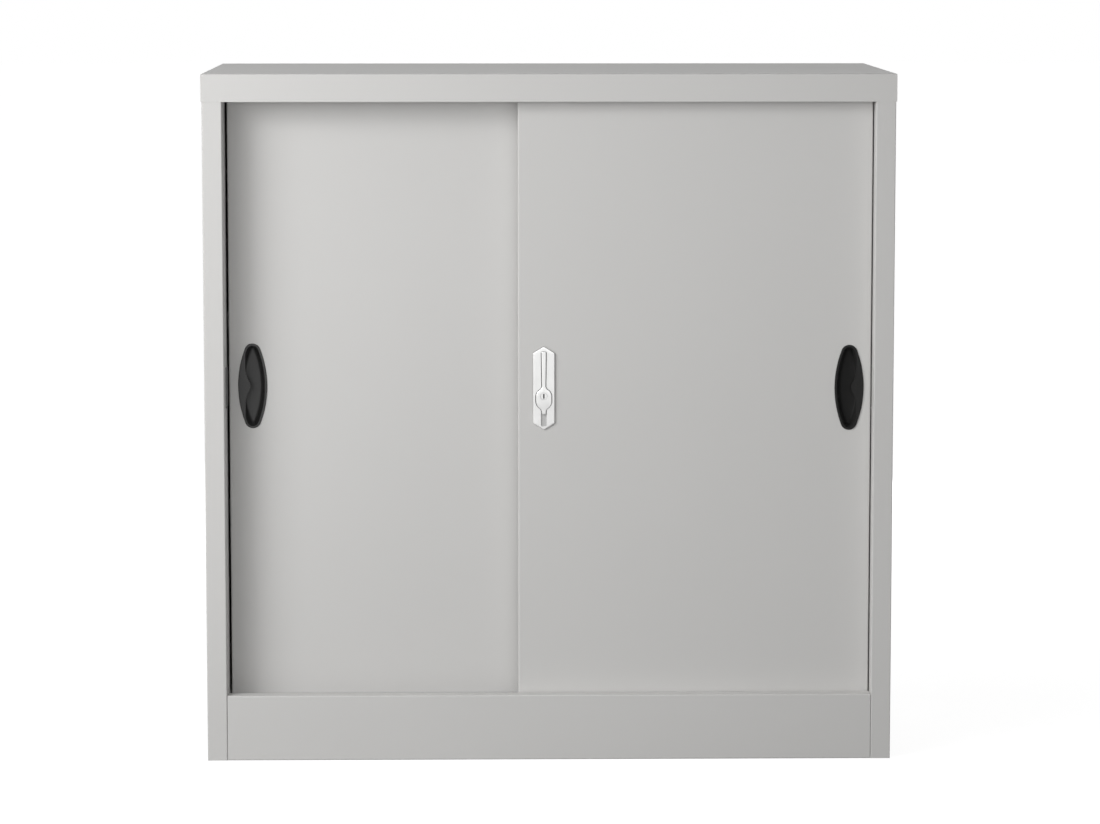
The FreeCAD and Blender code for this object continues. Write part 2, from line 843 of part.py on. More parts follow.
def make_fixing_screws():
    """Two screws from behind, through the case and the door into the plate."""
    y0 = right_face_y - fixing_grip
    y1 = case_back_y()
    screws = []
    for z in fixing_zs():
        shank = rod_y(fixing_radius, y0, y1 + fixing_head / 2, lock_x, z)
        head = rod_y(fixing_head_radius, y1, y1 + fixing_head, lock_x, z)
        screws.append(fuse_all(shank, head))
    return Part.Compound(screws)


def lever_blank(grow, y0, y1):
    """The lever seen from the front, grown by an amount: a long arm, an egg-shaped boss and a tail."""
    tip = lever_tip_width / 2 + grow
    neck = lever_neck_width / 2 + grow
    boss = boss_width / 2 + grow
    tail = tail_width / 2 + grow
    inner_round = boss_neck_round - grow
    foot_round = boss_foot_round - grow
    outer_round = boss_round + grow
    right = [
        (tip, lever_arm_length + grow, lever_tip_round + grow),
        (neck, boss_neck_height, inner_round),
        (boss, boss_upper_height, outer_round),
        (boss, -boss_lower_drop, outer_round),
        (tail, -boss_foot_drop, foot_round),
        (tail, -tail_length - grow, lever_edge),
    ]
    outline = right + [(-u, v, r) for u, v, r in right[::-1]]
    corners = [Vector(u, y0, v) for u, v, r in outline]
    return prism(corners, [r for u, v, r in outline], Vector(0, y1 - y0, 0))


def make_lever():
    """The lever with its shank, bored for the key plug and the cam screw."""
    grip = lever_blank(0, lever_face_y, lever_back_y)
    grip = grip.makeFillet(lever_edge, edges_at(grip, lever_face_y))
    shank = rod_y(shank_radius, lever_back_y - lever_thickness / 2, cam_y, 0, 0)
    tang = block(-tang_width / 2, tang_width / 2, cam_y - lever_edge, cam_y + cam_thickness,
                 -tang_width / 2, tang_width / 2)
    lever = fuse_all(grip, shank, tang)
    lever = lever.cut(rod_y(plug_radius + run_clear, lever_face_y - overrun, plug_end_y(), 0, 0))
    end = cam_y + cam_thickness
    lever = lever.cut(rod_y(cam_screw_radius, end - cam_screw_length, end + overrun, 0, 0))
    lever.translate(Vector(lock_x, 0, lock_z))
    return lever


def plug_end_y():
    """Inner end of the key plug."""
    return lever_face_y + plug_length


def make_plug():
    """The key plug in the lever's boss, with an upright key slot."""
    plug = rod_y(plug_radius, lever_face_y, plug_end_y(), lock_x, lock_z)
    slot = block(lock_x - key_slot_width / 2, lock_x + key_slot_width / 2,
                 lever_face_y - overrun, lever_face_y + key_slot_depth,
                 lock_z - key_slot_height / 2, lock_z + key_slot_height / 2)
    return plug.cut(slot)


def make_cam():
    """A flat cam on the shank's tang, stored pointing right, clear of the strike."""
    y1 = cam_y + cam_thickness
    half = cam_width / 2
    bar = block(0, cam_length - half, cam_y, y1, -half, half)
    nose = rod_y(half, cam_y, y1, cam_length - half, 0)
    hub = rod_y(shank_radius, cam_y, y1, 0, 0)
    cam = fuse_all(hub, bar, nose)
    cam = cam.cut(block(-tang_width / 2, tang_width / 2, cam_y - overrun, y1 + overrun,
                        -tang_width / 2, tang_width / 2))
    cam.translate(Vector(lock_x, 0, lock_z))
    return cam


def make_cam_screw():
    """The screw that holds the cam on the tang."""
    y = cam_y + cam_thickness
    shank = rod_y(cam_screw_radius, y - cam_screw_length, y + cam_screw_head / 2, lock_x, lock_z)
    head = rod_y(cam_screw_head_radius, y, y + cam_screw_head, lock_x, lock_z)
    return fuse_all(shank, head)


def strike_tab_x():
    """Right face of the strike's tab, just left of the turned cam."""
    return lock_x - cam_width / 2 - strike_play


def strike_rivet_places():
    """Two rivets, one above the other, through the strike's foot."""
    x = strike_tab_x() - strike_sheet - (strike_width - strike_sheet) / 2
    mid = strike_mid_z()
    reach = strike_length * strike_rivet_share
    return ((x, mid - reach), (x, mid + reach))


def strike_mid_z():
    """Middle height of the strike, below the lock's axis."""
    return lock_z - strike_tab_drop - strike_tab_length / 2


def make_strike():
    """An angle on the left door's face whose tab stands in the cam's way."""
    x1 = strike_tab_x()
    mid = strike_mid_z()
    front = right_face_y + door_thickness + strike_door_gap
    foot = block(x1 - strike_width, x1, left_face_y - strike_sheet, left_face_y,
                 mid - strike_length / 2, mid + strike_length / 2)
    tab_half = strike_tab_length / 2
    tab = block(x1 - strike_sheet, x1, front, left_face_y, mid - tab_half, mid + tab_half)
    strike = fuse_all(foot, tab)
    for x, z in strike_rivet_places():
        strike = strike.cut(rod_y(rivet_radius, left_face_y - overrun, left_face_y + overrun, x, z))
    return strike


def make_strike_rivets():
    """Rivets through the strike's foot and the left door's face."""
    rivets = []
    y0 = left_face_y - strike_sheet
    y1 = left_face_y + sheet
    for x, z in strike_rivet_places():
        shank = rod_y(rivet_radius, y0 - rivet_head, y1 + rivet_head, x, z)
        front = rod_y(rivet_head_radius, y0 - rivet_head, y0, x, z)
        back = rod_y(rivet_head_radius, y1, y1 + rivet_head, x, z)
        rivets.append(fuse_all(shank, front, back))
    return Part.Compound(rivets)


def make_left_door_panel():
    """The rear door, with the strike's rivet holes as well."""
    door = make_door_panel(left_door_x, left_face_y, left_pull_x())
    for x, z in strike_rivet_places():
        door = door.cut(rod_y(rivet_radius, left_face_y - overrun, left_face_y + overrun, x, z))
    return door


def post_y(place):
    """Front face of a shelf post."""
    if place == "front":
        return jamb_back + front_post_gap
    return back_face - rear_post_gap - post_width


def post_slots():
    """Heights of the slots in a shelf post, counted from the floor of the cupboard."""
    room = skirt_bottom - plinth_height - slot_first - post_slot_height
    return [plinth_height + slot_first + slot_pitch * i for i in range(int(room / slot_pitch) + 1)]


def make_post(hand, place):
    """A slotted channel welded to a side wall; hand -1 is the left side."""
    wall = hand * web_x
    face = wall - hand * post_depth
    y0 = post_y(place)
    y1 = y0 + post_width
    path = [(wall, y1), (face, y1), (face, y0), (wall, y0)]
    post = upright_strip(path, post_sheet, hand, plinth_height, skirt_bottom)
    mid = (y0 + y1) / 2
    x0, x1 = sorted((face - hand * overrun, face + hand * (post_sheet + clear)))
    half_width = post_slot_width / 2
    half = post_slot_height / 2
    for z in post_slots():
        post = post.cut(block(x0, x1, mid - half_width, mid + half_width, z - half, z + half))
    return post


def shelf_bottom(slot):
    """Height of a shelf's lower edge when its clips hang in the given slots."""
    return post_slots()[slot]


def make_shelf(slot):
    """An adjustable shelf resting on four clips."""
    half = web_x - post_depth - clip_sheet - clear
    y0 = jamb_back + shelf_front_gap
    y1 = back_face - shelf_rear_gap
    shelf = tray(2 * half, y1 - y0, shelf_edge, shelf_lip)
    shelf.translate(Vector(0, (y0 + y1) / 2, shelf_bottom(slot) + shelf_edge))
    return shelf


def make_clip(hand, place, slot):
    """A clip hooked into a post's slot, with a ledge under the shelf."""
    face = hand * (web_x - post_depth)
    z1 = shelf_bottom(slot)
    z0 = z1 - clip_sheet
    y = post_y(place) + post_width / 2
    half = clip_width / 2

    def part_of(near, far, half_width, low, high):
        x0, x1 = sorted((face - hand * near, face - hand * far))
        return block(x0, x1, y - half_width, y + half_width, low, high)

    plate = part_of(0, clip_sheet, half, z0, z0 + clip_height)
    ledge = part_of(0, clip_ledge + clip_sheet, half, z0, z1)
    neck_back = -post_sheet - clear
    hook_high = z1 + post_slot_height / 2 - clear
    hook_half = clip_hook_width / 2
    hook_low = hook_high - clip_hook_height
    neck = part_of(clip_sheet / 2, neck_back - clip_sheet, hook_half, hook_low, hook_high)
    hook = part_of(neck_back, neck_back - clip_sheet, hook_half, hook_low - clip_hook_drop, hook_high)
    return fuse_all(plate, ledge, neck, hook)


def make_clips(slot):
    """The four clips of one shelf."""
    return Part.Compound([make_clip(hand, place, slot) for hand in (-1, 1) for place in ("front", "rear")])


def make_door_fittings(side, door_x, face_y):
    """Every piece that the two doors have alike, by node name."""
    left_x, right_x = roller_xs(door_x)
    return {
        side + "_door_stiffener": make_stiffener(door_x, face_y),
        side + "_door_brackets": make_brackets(door_x, face_y),
        side + "_door_bracket_rivets": make_bracket_rivets(door_x, face_y),
        side + "_door_axles": make_axles(door_x, face_y),
        side + "_door_left_roller": make_roller(left_x, face_y),
        side + "_door_right_roller": make_roller(right_x, face_y),
        side + "_door_guides": make_guides(door_x, face_y),
    }


def make_nodes():
    """Every node of the cupboard, by name."""
    nodes = {
        "top_panel": make_top_panel(),
        "left_side_panel": make_side_panel(-1),
        "right_side_panel": make_side_panel(1),
        "back_panel": make_back_panel(),
        "bottom_panel": make_bottom_panel(),
        "plinth": make_plinth(),
        "bottom_track": make_bottom_track(),
        "bottom_track_rivets": make_bottom_track_rivets(),
        "top_track": make_top_track(),
        "door_stop_pads": make_stop_pads(),
        "front_left_shelf_post": make_post(-1, "front"),
        "rear_left_shelf_post": make_post(-1, "rear"),
        "front_right_shelf_post": make_post(1, "front"),
        "rear_right_shelf_post": make_post(1, "rear"),
        "lower_shelf": make_shelf(lower_shelf_slot_count),
        "upper_shelf": make_shelf(upper_shelf_slot_count),
        "lower_shelf_clips": make_clips(lower_shelf_slot_count),
        "upper_shelf_clips": make_clips(upper_shelf_slot_count),
        "left_door_panel": make_left_door_panel(),
        "left_door_pull": make_pull(left_pull_x(), left_face_y, -1),
        "lock_strike": make_strike(),
        "lock_strike_rivets": make_strike_rivets(),
        "right_door_panel": make_right_door_panel(),
        "right_door_pull": make_pull(right_pull_x(), right_face_y, 1),
        "lock_plate": make_lock_plate(),
        "lock_case": make_lock_case(),
        "lock_fixing_screws": make_fixing_screws(),
        "lock_lever": make_lever(),
        "lock_cam": make_cam(),
        "lock_cam_screw": make_cam_screw(),
        "lock_plug": make_plug(),
    }
    nodes.update(make_door_fittings("left", left_door_x, left_face_y))
    nodes.update(make_door_fittings("right", right_door_x, right_face_y))
    return nodes


os.makedirs("parts", exist_ok=True)
for name, shape in make_nodes().items():
    shape.exportStep("parts/" + name + ".step")
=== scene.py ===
import json
import math

import bmesh
import bpy
from mathutils import Euler, Matrix, Vector


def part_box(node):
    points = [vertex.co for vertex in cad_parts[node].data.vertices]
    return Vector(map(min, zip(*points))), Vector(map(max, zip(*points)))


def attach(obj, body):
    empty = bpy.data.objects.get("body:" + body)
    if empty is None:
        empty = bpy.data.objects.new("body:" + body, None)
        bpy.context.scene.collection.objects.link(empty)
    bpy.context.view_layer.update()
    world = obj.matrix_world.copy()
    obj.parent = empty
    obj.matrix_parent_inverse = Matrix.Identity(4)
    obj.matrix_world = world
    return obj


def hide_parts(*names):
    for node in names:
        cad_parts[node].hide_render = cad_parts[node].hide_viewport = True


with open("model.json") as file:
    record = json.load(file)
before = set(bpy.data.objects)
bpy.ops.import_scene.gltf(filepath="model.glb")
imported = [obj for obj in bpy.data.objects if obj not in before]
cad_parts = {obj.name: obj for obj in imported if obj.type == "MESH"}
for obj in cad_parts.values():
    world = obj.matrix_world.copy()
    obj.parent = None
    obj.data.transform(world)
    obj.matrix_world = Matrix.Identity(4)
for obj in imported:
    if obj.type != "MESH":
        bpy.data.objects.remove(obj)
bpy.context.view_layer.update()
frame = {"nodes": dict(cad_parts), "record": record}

nodes = frame["nodes"]


# Finishes

class Wire:
    """A shader value. Sums and products of wires add the nodes that work them out."""

    def __init__(self, finish, socket):
        self.finish = finish
        self.socket = socket

    def worked(self, operation, first, second):
        return self.finish.node("ShaderNodeMath", {"operation": operation}, {0: first, 1: second})

    def __add__(self, other):
        return self.worked("ADD", self, other)

    def __radd__(self, other):
        return self.worked("ADD", other, self)

    def __sub__(self, other):
        return self.worked("SUBTRACT", self, other)

    def __rsub__(self, other):
        return self.worked("SUBTRACT", other, self)

    def __mul__(self, other):
        return self.worked("MULTIPLY", self, other)

    def __rmul__(self, other):
        return self.worked("MULTIPLY", other, self)


class Finish:
    """One node tree, and the one way of adding nodes to it."""

    def __init__(self, owner):
        owner.use_nodes = True
        self.owner = owner
        self.tree = owner.node_tree
        self.tree.nodes.clear()

    def node(self, kind, settings=None, sockets=None, output=0):
        """Adds a node; gives one of its outputs as a wire, or the node if it has none."""
        made = self.tree.nodes.new(kind)
        for name, value in (settings or {}).items():
            setattr(made, name, value)
        for name, value in (sockets or {}).items():
            if isinstance(value, Wire):
                self.tree.links.new(value.socket, made.inputs[name])
            else:
                made.inputs[name].default_value = value
        return Wire(self, made.outputs[output]) if made.outputs else made

    def place(self, stretch=(1, 1, 1)):
        """Object coordinates, stretched where a pattern runs one way."""
        spot = self.node("ShaderNodeTexCoord", output="Object")
        if stretch == (1, 1, 1):
            return spot
        return self.node("ShaderNodeMapping", {}, {"Vector": spot, "Scale": stretch})

    def noise(self, spot, scale, detail, roughness=0.5):
        """Cloudy noise between 0 and 1."""
        sockets = {"Vector": spot, "Scale": scale, "Detail": detail, "Roughness": roughness}
        return self.node("ShaderNodeTexNoise", {}, sockets)

    def blend(self, factor, first, second):
        """A colour between two colours."""
        sockets = {"Factor": factor, 6: first, 7: second}
        return self.node("ShaderNodeMix", {"data_type": "RGBA"}, sockets, output=2)

    def ramp(self, value, low, high):
        """0 below the low value, 1 above the high one, smooth between them."""
        sockets = {"Value": value, "From Min": low, "From Max": high}
        return self.node("ShaderNodeMapRange", {"interpolation_type": "SMOOTHSTEP"}, sockets)

    def bump(self, height, strength, depth):
        """A normal roughened by a height."""
        sockets = {"Height": height, "Strength": strength, "Distance": depth}
        return self.node("ShaderNodeBump", {}, sockets)

    def surface(self, **sockets):
        """Ends the tree with a principled surface; gives the material."""
        named = {name.replace("_", " "): value for name, value in sockets.items()}
        shader = self.node("ShaderNodeBsdfPrincipled", {}, named)
        self.node("ShaderNodeOutputMaterial", {}, {"Surface": shader})
        return self.owner


def new_finish(name):
    """The empty node tree of a new material."""
    return Finish(bpy.data.materials.new(name))


def powder_coat():
    """Light grey powder coat: satin, faintly cloudy, with a fine orange peel."""
    coat = new_finish("light_grey_powder_coat")
    spot = coat.place()
    cloud = coat.noise(spot, scale=3.0, detail=2.0)
    peel = coat.noise(spot, scale=850.0, detail=1.5)
    fleck = coat.noise(spot, scale=2400.0, detail=0.0)
    shade = cloud * 0.6 + fleck * 0.4
    colour = coat.blend(shade, first=(0.604, 0.598, 0.586, 1), second=(0.646, 0.640, 0.628, 1))
    rough = 0.42 + cloud * 0.08 + peel * 0.06
    normal = coat.bump(peel + fleck * 0.3, strength=0.18, depth=0.00012)
    return coat.surface(Base_Color=colour, Roughness=rough, Normal=normal, Specular_IOR_Level=0.4)


def moulded_black(name, sheen):
    """Black moulded plastic with a fine eroded grain and slightly rubbed patches."""
    plastic = new_finish(name)
    spot = plastic.place()
    grain = plastic.noise(spot, scale=2600.0, detail=2.0, roughness=0.6)
    rub = plastic.noise(spot, scale=60.0, detail=3.0)
    colour = plastic.blend(rub, first=(0.020, 0.020, 0.0197, 1), second=(0.028, 0.0278, 0.0273, 1))
    rough = 0.36 + grain * 0.14 + rub * 0.06
    normal = plastic.bump(grain, strength=0.25, depth=0.00006)
    return plastic.surface(Base_Color=colour, Roughness=rough, Normal=normal,
                           Specular_IOR_Level=sheen)


# Depths below the face between which chrome turns matt, and the height over which the painted dark
# shade in grooves and slots gives way to the paler recess.
hollow_start = 0.0006
hollow_full = 0.0011
recess_fade = 0.0008


def satin_chrome(name, face_y, recess_z):
    """Satin chrome on die-cast zinc, brushed upright; matt below its face, with painted shade
    darkening grooves and slots, and a paler recess.
    """
    chrome = new_finish(name)
    spot = chrome.place()
    brush = chrome.noise(chrome.place((1400, 1400, 40)), scale=1.0, detail=3.0, roughness=0.6)
    cloud = chrome.noise(spot, scale=55.0, detail=2.0)
    depth = chrome.node("ShaderNodeSeparateXYZ", {}, {"Vector": spot}, output="Y")
    height = chrome.node("ShaderNodeSeparateXYZ", {}, {"Vector": spot}, output="Z")
    hollow = chrome.ramp(depth, face_y + hollow_start, face_y + hollow_full)
    painted_groove_shade_mask = chrome.ramp(height, recess_z - recess_fade, recess_z)
    bright = chrome.blend(cloud, first=(0.52, 0.52, 0.516, 1), second=(0.57, 0.57, 0.565, 1))
    # Painted shade: above the recess, the hollow is coloured near black to stand in for the shadow
    # in the narrow groove and the key slot; the recess below keeps a pale grey.
    matt = chrome.blend(painted_groove_shade_mask, first=(0.52, 0.52, 0.515, 1), second=(0.09, 0.09, 0.089, 1))
    colour = chrome.blend(hollow, first=bright, second=matt)
    rough = 0.30 + brush * 0.10 + cloud * 0.06 + hollow * 0.25
    normal = chrome.bump(brush, strength=0.06, depth=0.00003)
    return chrome.surface(Base_Color=colour, Metallic=1.0 - hollow, Roughness=rough, Normal=normal)


def zinc_plate():
    """Bright zinc plate, cloudy where the bath dried."""
    zinc = new_finish("zinc_plate")
    spot = zinc.place()
    cloud = zinc.noise(spot, scale=140.0, detail=4.0, roughness=0.6)
    fine = zinc.noise(spot, scale=1800.0, detail=1.0)
    colour = zinc.blend(cloud, first=(0.46, 0.46, 0.455, 1), second=(0.66, 0.66, 0.65, 1))
    rough = 0.26 + cloud * 0.20 + fine * 0.05
    normal = zinc.bump(fine, strength=0.10, depth=0.00004)
    return zinc.surface(Base_Color=colour, Metallic=1.0, Roughness=rough, Normal=normal)


def drawn_aluminium():
    """Aluminium with draw lines along the rail."""
    metal = new_finish("drawn_aluminium")
    lines = metal.noise(metal.place((6, 2600, 2600)), scale=1.0, detail=2.0)
    cloud = metal.noise(metal.place(), scale=12.0, detail=2.0)
    colour = metal.blend(cloud, first=(0.58, 0.58, 0.59, 1), second=(0.70, 0.70, 0.71, 1))
    rough = 0.28 + lines * 0.16
    normal = metal.bump(lines, strength=0.12, depth=0.00003)
    return metal.surface(Base_Color=colour, Metallic=1.0, Roughness=rough, Normal=normal)


def natural_nylon():
    """Off-white nylon with soft flow marks."""
    nylon = new_finish("natural_nylon")
    spot = nylon.place()
    flow = nylon.noise(spot, scale=110.0, detail=3.0)
    fine = nylon.noise(spot, scale=1500.0, detail=1.0)
    colour = nylon.blend(flow, first=(0.66, 0.645, 0.60, 1), second=(0.76, 0.75, 0.71, 1))
    rough = 0.40 + fine * 0.12
    normal = nylon.bump(fine, strength=0.10, depth=0.00004)
    return nylon.surface(Base_Color=colour, Roughness=rough, Normal=normal)


def grey_rubber():
    """Matt grey rubber, slightly dusty."""
    rubber = new_finish("grey_rubber")
    spot = rubber.place()
    dust = rubber.noise(spot, scale=90.0, detail=4.0, roughness=0.6)
    pores = rubber.noise(spot, scale=1600.0, detail=2.0)
    colour = rubber.blend(dust, first=(0.16, 0.16, 0.16, 1), second=(0.24, 0.24, 0.235, 1))
    rough = 0.72 + pores * 0.16
    normal = rubber.bump(pores, strength=0.3, depth=0.00008)
    return rubber.surface(Base_Color=colour, Roughness=rough, Normal=normal)


finishes = {
    "body_paint": powder_coat(),
    "pull_plastic": moulded_black("moulded_black_plastic", sheen=0.06),
    "lock_chrome": satin_chrome("satin_chrome_plate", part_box("lock_plate")[0][1],
                                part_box("lock_lever")[0][2]),
    "plated_steel": zinc_plate(),
    "track_metal": drawn_aluminium(),
    "roller_plastic": natural_nylon(),
    "stop_rubber": grey_rubber(),
}
bodies = frame["record"]["behaviour"]["bodies"]
node_slots = {part["node"]: part["material_slot"] for part in frame["record"]["subparts"]}
node_bodies = {node: body for body, members in bodies.items() for node in members}


def paint(piece, finish):
    """Gives a piece one finish."""
    piece.data.materials.clear()
    piece.data.materials.append(finish)


for node, piece in nodes.items():
    paint(piece, finishes[node_slots[node]])


# Pieces

sharp_angle = math.radians(30)
flat_angle = math.radians(0.4)
weld_distance = 0.000003
level_tolerance = 0.000002


def finished(shape, node, finish=None):
    """Makes a shape the piece that is seen in place of a node."""
    for edge in shape.edges:
        edge.smooth = edge.calc_face_angle(0.0) < sharp_angle
    for face in shape.faces:
        face.smooth = True
    mesh = bpy.data.meshes.new(node + "_finished")
    shape.to_mesh(mesh)
    shape.free()
    if "custom_normal" in mesh.attributes:
        mesh.attributes.remove(mesh.attributes["custom_normal"])
    piece = bpy.data.objects.new(node + "_finished", mesh)
    bpy.context.scene.collection.objects.link(piece)
    paint(piece, finish or finishes[node_slots[node]])
    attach(piece, node_bodies[node])
    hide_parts(node)
    return piece


def joined(node):
    """A copy of a node's shape with its triangles joined into whole faces."""
    shape = bmesh.new()
    shape.from_mesh(nodes[node].data)
    bmesh.ops.remove_doubles(shape, verts=shape.verts, dist=weld_distance)
    bmesh.ops.dissolve_limit(shape, angle_limit=flat_angle, verts=shape.verts, edges=shape.edges)
    return shape


def smoothed(shape, node, edge_round, segments=2, finish=None):
    """Makes a shape the piece seen in place of a node, with its sharp edges broken."""
    piece = finished(shape, node, finish)
    edges = piece.modifiers.new("broken_edges", "BEVEL")
    edges.width = edge_round
    edges.segments = segments
    edges.limit_method = "ANGLE"
    edges.angle_limit = sharp_angle
    edges.harden_normals = True


def flat_face(shape, y):
    """The largest face in the plane at y."""
    level = [face for face in shape.faces
             if all(abs(vert.co.y - y) < level_tolerance for vert in face.verts)]
    return max(level, key=lambda face: face.calc_area())


# Pulls, rollers and small lock pieces

pull_wall = 0.0015
pull_edge = 0.0004
pull_edge_segments = 3
lock_part_edge = 0.0002
roller_edge = 0.0003

# The scoop's curve starts at the rise above the pocket's floor, where the leaning wall stands
# further out by the spread, and runs in from there by the reach.
scoop_rise = 0.0065
scoop_spread = 0.00205
scoop_reach = 0.0052
scoop_steps = 8


def scooped(shape, node):
    """Turns a pull's flat pocket floor into a scoop that curves up into the pocket's walls."""
    floor = flat_face(shape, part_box(node)[1][1] - pull_wall)
    for corner, inward in [(loop.vert, loop.calc_tangent()) for loop in floor.loops]:
        corner.co -= inward * scoop_spread
        corner.co.y -= scoop_rise
    quarter = [math.radians(90 * step / scoop_steps) for step in range(scoop_steps + 1)]
    for before, after in zip(quarter, quarter[1:]):
        inset = scoop_reach * (math.cos(before) - math.cos(after))
        drop = scoop_rise * (math.sin(after) - math.sin(before))
        bmesh.ops.inset_region(shape, faces=[floor], thickness=inset, depth=-drop,
                               use_boundary=True, use_even_offset=True)
    return shape


# Painted sheen: the left pull gets a glossier copy of the same black plastic, so that it shows
# lighter than the right pull.
painted_sheen_plastic = moulded_black("painted_sheen_black_plastic", sheen=0.38)
for node, finish in (("left_door_pull", painted_sheen_plastic), ("right_door_pull", None)):
    smoothed(scooped(joined(node), node), node, pull_edge, pull_edge_segments, finish)
for node in ("lock_cam", "lock_cam_screw", "lock_case"):
    smoothed(joined(node), node, lock_part_edge)
for node in [name for name in nodes if name.endswith("_roller")]:
    smoothed(joined(node), node, roller_edge)


# Lock

corner_segments = 10
circle_segments = 48
edge_segments = 4

plate_point = 0.0088
plate_round = 0.0025
plate_edge = 0.0008
groove_gap = 0.0008
groove_depth = 0.0013
recess_end_gap = 0.0046

lever_thickness = 0.0028
lever_edge = 0.0011
lever_arm_length = 0.0588
lever_tip_width = 0.0063
lever_tip_round = 0.0019
lever_neck_width = 0.0049
boss_width = 0.0206
boss_round = 0.0100
boss_neck_height = 0.0107
boss_upper_height = 0.0048
boss_lower_drop = 0.0122
boss_foot_drop = 0.0182
boss_fillet = 0.0050
tail_width = 0.0058
tail_length = 0.0240
tail_round = 0.0007
shank_radius = 0.0065
tang_width = 0.0070

turning_gap = 0.00005
bore_edge = 0.0003
key_slot_width = 0.0018
key_slot_height = 0.0062
key_slot_depth = 0.0050
key_slot_round = 0.0004

plate_low, plate_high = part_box("lock_plate")
lever_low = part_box("lock_lever")[0]
plug_low, plug_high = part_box("lock_plug")
lock_x = (plug_low[0] + plug_high[0]) / 2
lock_z = (plug_low[2] + plug_high[2]) / 2
plug_radius = (plug_high[0] - plug_low[0]) / 2
plug_back = plug_high[1]
lever_face = lever_low[1]
lever_back = lever_face + lever_thickness
cam_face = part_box("lock_cam")[0][1]
cam_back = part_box("lock_cam")[1][1]


def rounded_face(shape, corners, y):
    """A flat face through (x, z, radius) corners, each rounded by its own radius."""
    points = [Vector((lock_x + x, y, lock_z + z)) for x, z, radius in corners]
    verts = [shape.verts.new(point) for point in points]
    shape.faces.new(verts)
    for i, (x, z, radius) in enumerate(corners):
        back = points[i - 1] - points[i]
        ahead = points[(i + 1) % len(points)] - points[i]
        reach = radius / math.tan(back.angle(ahead) / 2)
        bmesh.ops.bevel(shape, geom=[verts[i]], offset=reach, segments=corner_segments,
                        profile=0.5, affect="VERTICES", material=-1)
    return flat_face(shape, y)


def rim(shape, face):
    """A face's edges, with the face itself taken out."""
    edges = list(face.edges)
    bmesh.ops.delete(shape, geom=[face], context="FACES_ONLY")
    return edges


def pushed(shape, edges, travel, scale=1.0):
    """Walls from a loop of edges along Y; gives the loop at their far end."""
    made = bmesh.ops.extrude_edge_only(shape, edges=edges)["geom"]
    verts = [item for item in made if isinstance(item, bmesh.types.BMVert)]
    middle = Matrix.Translation((-lock_x, 0, -lock_z))
    bmesh.ops.scale(shape, verts=verts, vec=(scale, 1, scale), space=middle)
    bmesh.ops.translate(shape, verts=verts, vec=(0, travel, 0))
    return [item for item in made if isinstance(item, bmesh.types.BMEdge)]


def circle(shape, radius, y):
    """A loop round the lock's axis."""
    place = Matrix.Translation((lock_x, y, lock_z)) @ Matrix.Rotation(math.radians(90), 4, "X")
    made = bmesh.ops.create_circle(shape, segments=circle_segments, radius=radius, matrix=place)
    return list({edge for vert in made["verts"] for edge in vert.link_edges})


def between(shape, *loops):
    """A flat face between an outer loop and the loops inside it."""
    bmesh.ops.triangle_fill(shape, edges=[edge for loop in loops for edge in loop], use_beauty=True)


def slab(shape, corners, front, back, edge_round):
    """A flat block with its front edges rounded; gives the loops round its front and back faces."""
    made = bmesh.ops.extrude_face_region(shape, geom=[rounded_face(shape, corners, front)])["geom"]
    verts = [item for item in made if isinstance(item, bmesh.types.BMVert)]
    bmesh.ops.translate(shape, verts=verts, vec=(0, back - front, 0))
    bmesh.ops.bevel(shape, geom=list(flat_face(shape, front).edges), offset=edge_round,
                    segments=edge_segments, profile=0.5, affect="EDGES", material=-1)
    return rim(shape, flat_face(shape, front)), rim(shape, flat_face(shape, back))


def both_sides(right):
    """A whole outline from its right half."""
    return right + [(-x, z, radius) for x, z, radius in reversed(right)]


def lever_outline(gap, tail):
    """The lever seen from the front, with a gap beside it: arm, egg-shaped boss and tail."""
    return both_sides([
        (lever_tip_width / 2 + gap, lever_arm_length, lever_tip_round + gap),
        (lever_neck_width / 2 + gap, boss_neck_height, boss_fillet - gap),
        (boss_width / 2 + gap, boss_upper_height, boss_round + gap),
        (boss_width / 2 + gap, -boss_lower_drop, boss_round + gap),
        (tail_width / 2 + gap, -boss_foot_drop, boss_fillet - gap),
        (tail_width / 2 + gap, -tail, tail_round + gap),
    ])


def make_lock_plate():
    """The hexagonal plate with a groove round the lever and a recess below its tail."""
    shape = bmesh.new()
    face, back_face = plate_low[1], plate_high[1]
    side = (plate_high[0] - plate_low[0]) / 2
    top = plate_high[2] - lock_z
    low = plate_low[2] - lock_z
    right_top, right_low, left_low, left_top = both_sides([
        (side, top - plate_point, plate_round), (side, low + plate_point, plate_round)])
    outline = [(0, top, plate_round), right_top, right_low,
               (0, low, plate_round), left_low, left_top]
    front, back = slab(shape, outline, face, back_face, plate_edge)
    hollow = lever_outline(groove_gap, -low - recess_end_gap)
    groove = rim(shape, rounded_face(shape, hollow, face))
    between(shape, front, groove)
    floor = pushed(shape, groove, groove_depth)
    bore = circle(shape, shank_radius + turning_gap, face + groove_depth)
    between(shape, floor, bore)
    between(shape, back, pushed(shape, bore, back_face - face - groove_depth))
    bmesh.ops.recalc_face_normals(shape, faces=shape.faces)
    # The groove round the lever gets the painted dark shade of the chrome finish.
    finished(shape, "lock_plate")


